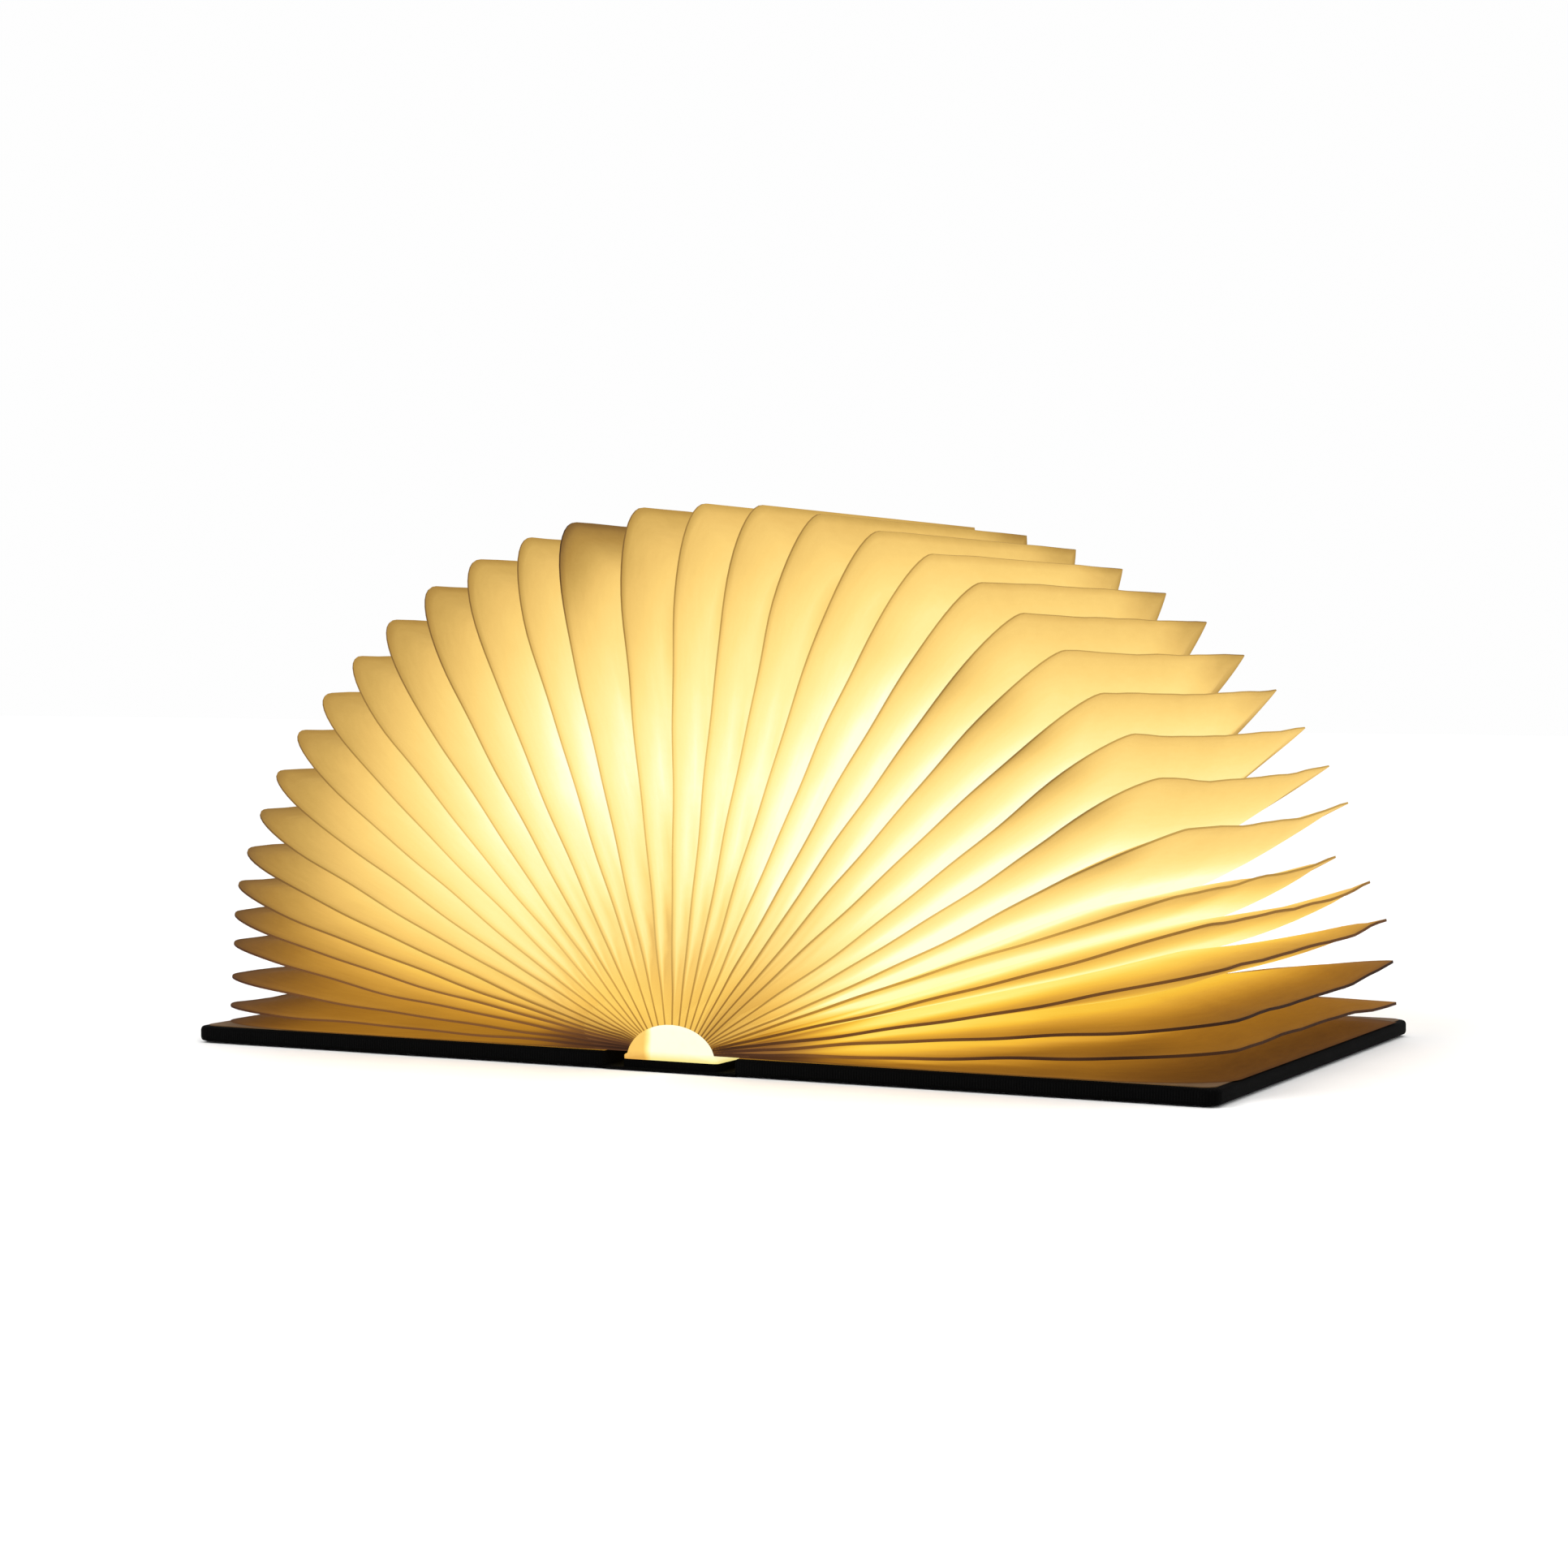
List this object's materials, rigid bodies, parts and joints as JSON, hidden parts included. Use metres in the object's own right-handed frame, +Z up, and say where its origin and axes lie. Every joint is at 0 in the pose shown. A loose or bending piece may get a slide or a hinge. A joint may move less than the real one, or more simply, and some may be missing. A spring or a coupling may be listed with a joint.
{
  "type": "folding book lamp",
  "caption": "Book-shaped lamp: two hinged covers, a light bar on the spine and a paper leaf bellows that fans out into a half circle when the covers lie flat.",
  "frame": {"origin": "on the table surface under the middle of the spine, with the lamp open and lying flat", "axes": "+X across the two covers towards the right cover, +Y along the spine towards the charging socket, +Z up"},
  "size_m": [0.205, 0.122, 0.102],
  "materials": {
    "lit_paper": "white fibre paper lit from behind, warm glow",
    "diffuser_plastic": "frosted white plastic, lit",
    "black_cloth": "black bookcloth, fine weave",
    "cover_card": "grey-brown bookbinder's board",
    "brown_endpaper": "plain brown endpaper",
    "steel": "nickel-plated steel",
    "tray_plastic": "moulded off-white plastic",
    "cell_foil": "foil pouch",
    "board_white": "white solder mask",
    "board_green": "green solder mask",
    "diode": "phosphor gel",
    "black_plastic": "black epoxy"
  },
  "bodies": {
    "spine_and_light_bar": {"spine_wrap": "black_cloth", "spine_board": "cover_card", "hub_tray": "tray_plastic", "hub_screws": "steel", "battery": "cell_foil", "led_board": "board_white", "leds": "diode", "control_board": "board_green", "usb_socket": "steel", "hall_sensor": "black_plastic", "diffuser": "diffuser_plastic", "end_cap_near": "diffuser_plastic", "end_cap_far": "diffuser_plastic", "hinge_strip_left": "black_cloth", "hinge_strip_right": "black_cloth", "pleats_left": "lit_paper", "pleats_right": "lit_paper", "page_18": "lit_paper"},
    "left_cover": {"cover_wrap_left": "black_cloth", "cover_board_left": "cover_card", "cover_magnets_left": "steel", "endpaper_left": "brown_endpaper"},
    "right_cover": {"cover_wrap_right": "black_cloth", "cover_board_right": "cover_card", "cover_magnets_right": "steel", "endpaper_right": "brown_endpaper"},
    "leaf_01": {"page_01": "lit_paper"},
    "leaf_02": {"page_02": "lit_paper"},
    "leaf_03": {"page_03": "lit_paper"},
    "leaf_04": {"page_04": "lit_paper"},
    "leaf_05": {"page_05": "lit_paper"},
    "leaf_06": {"page_06": "lit_paper"},
    "leaf_07": {"page_07": "lit_paper"},
    "leaf_08": {"page_08": "lit_paper"},
    "leaf_09": {"page_09": "lit_paper"},
    "leaf_10": {"page_10": "lit_paper"},
    "leaf_11": {"page_11": "lit_paper"},
    "leaf_12": {"page_12": "lit_paper"},
    "leaf_13": {"page_13": "lit_paper"},
    "leaf_14": {"page_14": "lit_paper"},
    "leaf_15": {"page_15": "lit_paper"},
    "leaf_16": {"page_16": "lit_paper"},
    "leaf_17": {"page_17": "lit_paper"},
    "leaf_19": {"page_19": "lit_paper"},
    "leaf_20": {"page_20": "lit_paper"},
    "leaf_21": {"page_21": "lit_paper"},
    "leaf_22": {"page_22": "lit_paper"},
    "leaf_23": {"page_23": "lit_paper"},
    "leaf_24": {"page_24": "lit_paper"},
    "leaf_25": {"page_25": "lit_paper"},
    "leaf_26": {"page_26": "lit_paper"},
    "leaf_27": {"page_27": "lit_paper"},
    "leaf_28": {"page_28": "lit_paper"},
    "leaf_29": {"page_29": "lit_paper"},
    "leaf_30": {"page_30": "lit_paper"},
    "leaf_31": {"page_31": "lit_paper"},
    "leaf_32": {"page_32": "lit_paper"},
    "leaf_33": {"page_33": "lit_paper"},
    "leaf_34": {"page_34": "lit_paper"}
  },
  "joints": [
    {"name": "left_cover_hinge", "type": "hinge", "parent": "spine_and_light_bar", "child": "left_cover", "pos_m": [-0.0126, 0, 0.00015], "axis": [0, 1, 0], "range_deg": [-97.5, 90], "deforming": ["hinge_strip_left", "pleats_left"]},
    {"name": "right_cover_hinge", "type": "hinge", "parent": "spine_and_light_bar", "child": "right_cover", "pos_m": [0.0126, 0, 0.00015], "axis": [0, -1, 0], "range_deg": [-97.5, 90], "deforming": ["hinge_strip_right", "pleats_right"]},
    {"name": "leaf_01_turn", "type": "hinge", "parent": "spine_and_light_bar", "child": "leaf_01", "pos_m": [-0.0126, 0, 0.00015], "axis": [0, 1, 0], "range_deg": [-95.82, 88.45]},
    {"name": "leaf_02_turn", "type": "hinge", "parent": "spine_and_light_bar", "child": "leaf_02", "pos_m": [-0.0126, 0, 0.00015], "axis": [0, 1, 0], "range_deg": [-93.02, 85.87]},
    {"name": "leaf_03_turn", "type": "hinge", "parent": "spine_and_light_bar", "child": "leaf_03", "pos_m": [-0.0126, 0, 0.00015], "axis": [0, 1, 0], "range_deg": [-89.58, 82.69]},
    {"name": "leaf_04_turn", "type": "hinge", "parent": "spine_and_light_bar", "child": "leaf_04", "pos_m": [-0.0126, 0, 0.00015], "axis": [0, 1, 0], "range_deg": [-85.65, 79.06]},
    {"name": "leaf_05_turn", "type": "hinge", "parent": "spine_and_light_bar", "child": "leaf_05", "pos_m": [-0.0126, 0, 0.00015], "axis": [0, 1, 0], "range_deg": [-81.3, 75.04]},
    {"name": "leaf_06_turn", "type": "hinge", "parent": "spine_and_light_bar", "child": "leaf_06", "pos_m": [-0.0126, 0, 0.00015], "axis": [0, 1, 0], "range_deg": [-76.58, 70.69]},
    {"name": "leaf_07_turn", "type": "hinge", "parent": "spine_and_light_bar", "child": "leaf_07", "pos_m": [-0.0126, 0, 0.00015], "axis": [0, 1, 0], "range_deg": [-71.53, 66.03]},
    {"name": "leaf_08_turn", "type": "hinge", "parent": "spine_and_light_bar", "child": "leaf_08", "pos_m": [-0.0126, 0, 0.00015], "axis": [0, 1, 0], "range_deg": [-66.19, 61.1]},
    {"name": "leaf_09_turn", "type": "hinge", "parent": "spine_and_light_bar", "child": "leaf_09", "pos_m": [-0.0126, 0, 0.00015], "axis": [0, 1, 0], "range_deg": [-60.57, 55.92]},
    {"name": "leaf_10_turn", "type": "hinge", "parent": "spine_and_light_bar", "child": "leaf_10", "pos_m": [-0.0126, 0, 0.00015], "axis": [0, 1, 0], "range_deg": [-54.7, 50.5]},
    {"name": "leaf_11_turn", "type": "hinge", "parent": "spine_and_light_bar", "child": "leaf_11", "pos_m": [-0.0126, 0, 0.00015], "axis": [0, 1, 0], "range_deg": [-48.59, 44.85]},
    {"name": "leaf_12_turn", "type": "hinge", "parent": "spine_and_light_bar", "child": "leaf_12", "pos_m": [-0.0126, 0, 0.00015], "axis": [0, 1, 0], "range_deg": [-42.25, 39]},
    {"name": "leaf_13_turn", "type": "hinge", "parent": "spine_and_light_bar", "child": "leaf_13", "pos_m": [-0.0126, 0, 0.00015], "axis": [0, 1, 0], "range_deg": [-35.7, 32.95]},
    {"name": "leaf_14_turn", "type": "hinge", "parent": "spine_and_light_bar", "child": "leaf_14", "pos_m": [-0.0126, 0, 0.00015], "axis": [0, 1, 0], "range_deg": [-28.94, 26.71]},
    {"name": "leaf_15_turn", "type": "hinge", "parent": "spine_and_light_bar", "child": "leaf_15", "pos_m": [-0.0126, 0, 0.00015], "axis": [0, 1, 0], "range_deg": [-21.98, 20.3]},
    {"name": "leaf_16_turn", "type": "hinge", "parent": "spine_and_light_bar", "child": "leaf_16", "pos_m": [-0.0126, 0, 0.00015], "axis": [0, 1, 0], "range_deg": [-16.14, 14.9]},
    {"name": "leaf_17_turn", "type": "hinge", "parent": "spine_and_light_bar", "child": "leaf_17", "pos_m": [-0.0126, 0, 0.00015], "axis": [0, 1, 0], "range_deg": [-7.52, 6.94]},
    {"name": "leaf_19_turn", "type": "hinge", "parent": "spine_and_light_bar", "child": "leaf_19", "pos_m": [0.0126, 0, 0.00015], "axis": [0, -1, 0], "range_deg": [-6.92, 6.39]},
    {"name": "leaf_20_turn", "type": "hinge", "parent": "spine_and_light_bar", "child": "leaf_20", "pos_m": [0.0126, 0, 0.00015], "axis": [0, -1, 0], "range_deg": [-13.72, 12.67]},
    {"name": "leaf_21_turn", "type": "hinge", "parent": "spine_and_light_bar", "child": "leaf_21", "pos_m": [0.0126, 0, 0.00015], "axis": [0, -1, 0], "range_deg": [-20.43, 18.86]},
    {"name": "leaf_22_turn", "type": "hinge", "parent": "spine_and_light_bar", "child": "leaf_22", "pos_m": [0.0126, 0, 0.00015], "axis": [0, -1, 0], "range_deg": [-27.05, 24.97]},
    {"name": "leaf_23_turn", "type": "hinge", "parent": "spine_and_light_bar", "child": "leaf_23", "pos_m": [0.0126, 0, 0.00015], "axis": [0, -1, 0], "range_deg": [-33.55, 30.97]},
    {"name": "leaf_24_turn", "type": "hinge", "parent": "spine_and_light_bar", "child": "leaf_24", "pos_m": [0.0126, 0, 0.00015], "axis": [0, -1, 0], "range_deg": [-39.94, 36.87]},
    {"name": "leaf_25_turn", "type": "hinge", "parent": "spine_and_light_bar", "child": "leaf_25", "pos_m": [0.0126, 0, 0.00015], "axis": [0, -1, 0], "range_deg": [-46.22, 42.66]},
    {"name": "leaf_26_turn", "type": "hinge", "parent": "spine_and_light_bar", "child": "leaf_26", "pos_m": [0.0126, 0, 0.00015], "axis": [0, -1, 0], "range_deg": [-52.36, 48.33]},
    {"name": "leaf_27_turn", "type": "hinge", "parent": "spine_and_light_bar", "child": "leaf_27", "pos_m": [0.0126, 0, 0.00015], "axis": [0, -1, 0], "range_deg": [-58.35, 53.87]},
    {"name": "leaf_28_turn", "type": "hinge", "parent": "spine_and_light_bar", "child": "leaf_28", "pos_m": [0.0126, 0, 0.00015], "axis": [0, -1, 0], "range_deg": [-64.2, 59.26]},
    {"name": "leaf_29_turn", "type": "hinge", "parent": "spine_and_light_bar", "child": "leaf_29", "pos_m": [0.0126, 0, 0.00015], "axis": [0, -1, 0], "range_deg": [-69.87, 64.5]},
    {"name": "leaf_30_turn", "type": "hinge", "parent": "spine_and_light_bar", "child": "leaf_30", "pos_m": [0.0126, 0, 0.00015], "axis": [0, -1, 0], "range_deg": [-75.34, 69.55]},
    {"name": "leaf_31_turn", "type": "hinge", "parent": "spine_and_light_bar", "child": "leaf_31", "pos_m": [0.0126, 0, 0.00015], "axis": [0, -1, 0], "range_deg": [-80.59, 74.39]},
    {"name": "leaf_32_turn", "type": "hinge", "parent": "spine_and_light_bar", "child": "leaf_32", "pos_m": [0.0126, 0, 0.00015], "axis": [0, -1, 0], "range_deg": [-85.57, 78.99]},
    {"name": "leaf_33_turn", "type": "hinge", "parent": "spine_and_light_bar", "child": "leaf_33", "pos_m": [0.0126, 0, 0.00015], "axis": [0, -1, 0], "range_deg": [-90.2, 83.27]},
    {"name": "leaf_34_turn", "type": "hinge", "parent": "spine_and_light_bar", "child": "leaf_34", "pos_m": [0.0126, 0, 0.00015], "axis": [0, -1, 0], "range_deg": [-94.36, 87.1]}
  ],
  "couplings": [
    {"joint": "leaf_01_turn", "follows": "left_cover_hinge", "ratio": 0.98252},
    {"joint": "leaf_02_turn", "follows": "left_cover_hinge", "ratio": 0.95386},
    {"joint": "leaf_03_turn", "follows": "left_cover_hinge", "ratio": 0.91861},
    {"joint": "leaf_04_turn", "follows": "left_cover_hinge", "ratio": 0.87824},
    {"joint": "leaf_05_turn", "follows": "left_cover_hinge", "ratio": 0.83359},
    {"joint": "leaf_06_turn", "follows": "left_cover_hinge", "ratio": 0.7852},
    {"joint": "leaf_07_turn", "follows": "left_cover_hinge", "ratio": 0.73346},
    {"joint": "leaf_08_turn", "follows": "left_cover_hinge", "ratio": 0.67868},
    {"joint": "leaf_09_turn", "follows": "left_cover_hinge", "ratio": 0.62107},
    {"joint": "leaf_10_turn", "follows": "left_cover_hinge", "ratio": 0.56084},
    {"joint": "leaf_11_turn", "follows": "left_cover_hinge", "ratio": 0.49816},
    {"joint": "leaf_12_turn", "follows": "left_cover_hinge", "ratio": 0.43314},
    {"joint": "leaf_13_turn", "follows": "left_cover_hinge", "ratio": 0.36593},
    {"joint": "leaf_14_turn", "follows": "left_cover_hinge", "ratio": 0.29661},
    {"joint": "leaf_15_turn", "follows": "left_cover_hinge", "ratio": 0.22528},
    {"joint": "leaf_16_turn", "follows": "left_cover_hinge", "ratio": 0.16535},
    {"joint": "leaf_17_turn", "follows": "left_cover_hinge", "ratio": 0.0769},
    {"joint": "leaf_19_turn", "follows": "right_cover_hinge", "ratio": 0.07073},
    {"joint": "leaf_20_turn", "follows": "right_cover_hinge", "ratio": 0.14054},
    {"joint": "leaf_21_turn", "follows": "right_cover_hinge", "ratio": 0.20937},
    {"joint": "leaf_22_turn", "follows": "right_cover_hinge", "ratio": 0.27718},
    {"joint": "leaf_23_turn", "follows": "right_cover_hinge", "ratio": 0.34391},
    {"joint": "leaf_24_turn", "follows": "right_cover_hinge", "ratio": 0.40947},
    {"joint": "leaf_25_turn", "follows": "right_cover_hinge", "ratio": 0.47379},
    {"joint": "leaf_26_turn", "follows": "right_cover_hinge", "ratio": 0.53678},
    {"joint": "leaf_27_turn", "follows": "right_cover_hinge", "ratio": 0.59831},
    {"joint": "leaf_28_turn", "follows": "right_cover_hinge", "ratio": 0.65824},
    {"joint": "leaf_29_turn", "follows": "right_cover_hinge", "ratio": 0.71639},
    {"joint": "leaf_30_turn", "follows": "right_cover_hinge", "ratio": 0.77254},
    {"joint": "leaf_31_turn", "follows": "right_cover_hinge", "ratio": 0.82636},
    {"joint": "leaf_32_turn", "follows": "right_cover_hinge", "ratio": 0.8774},
    {"joint": "leaf_33_turn", "follows": "right_cover_hinge", "ratio": 0.92494},
    {"joint": "leaf_34_turn", "follows": "right_cover_hinge", "ratio": 0.96755}
  ]
}
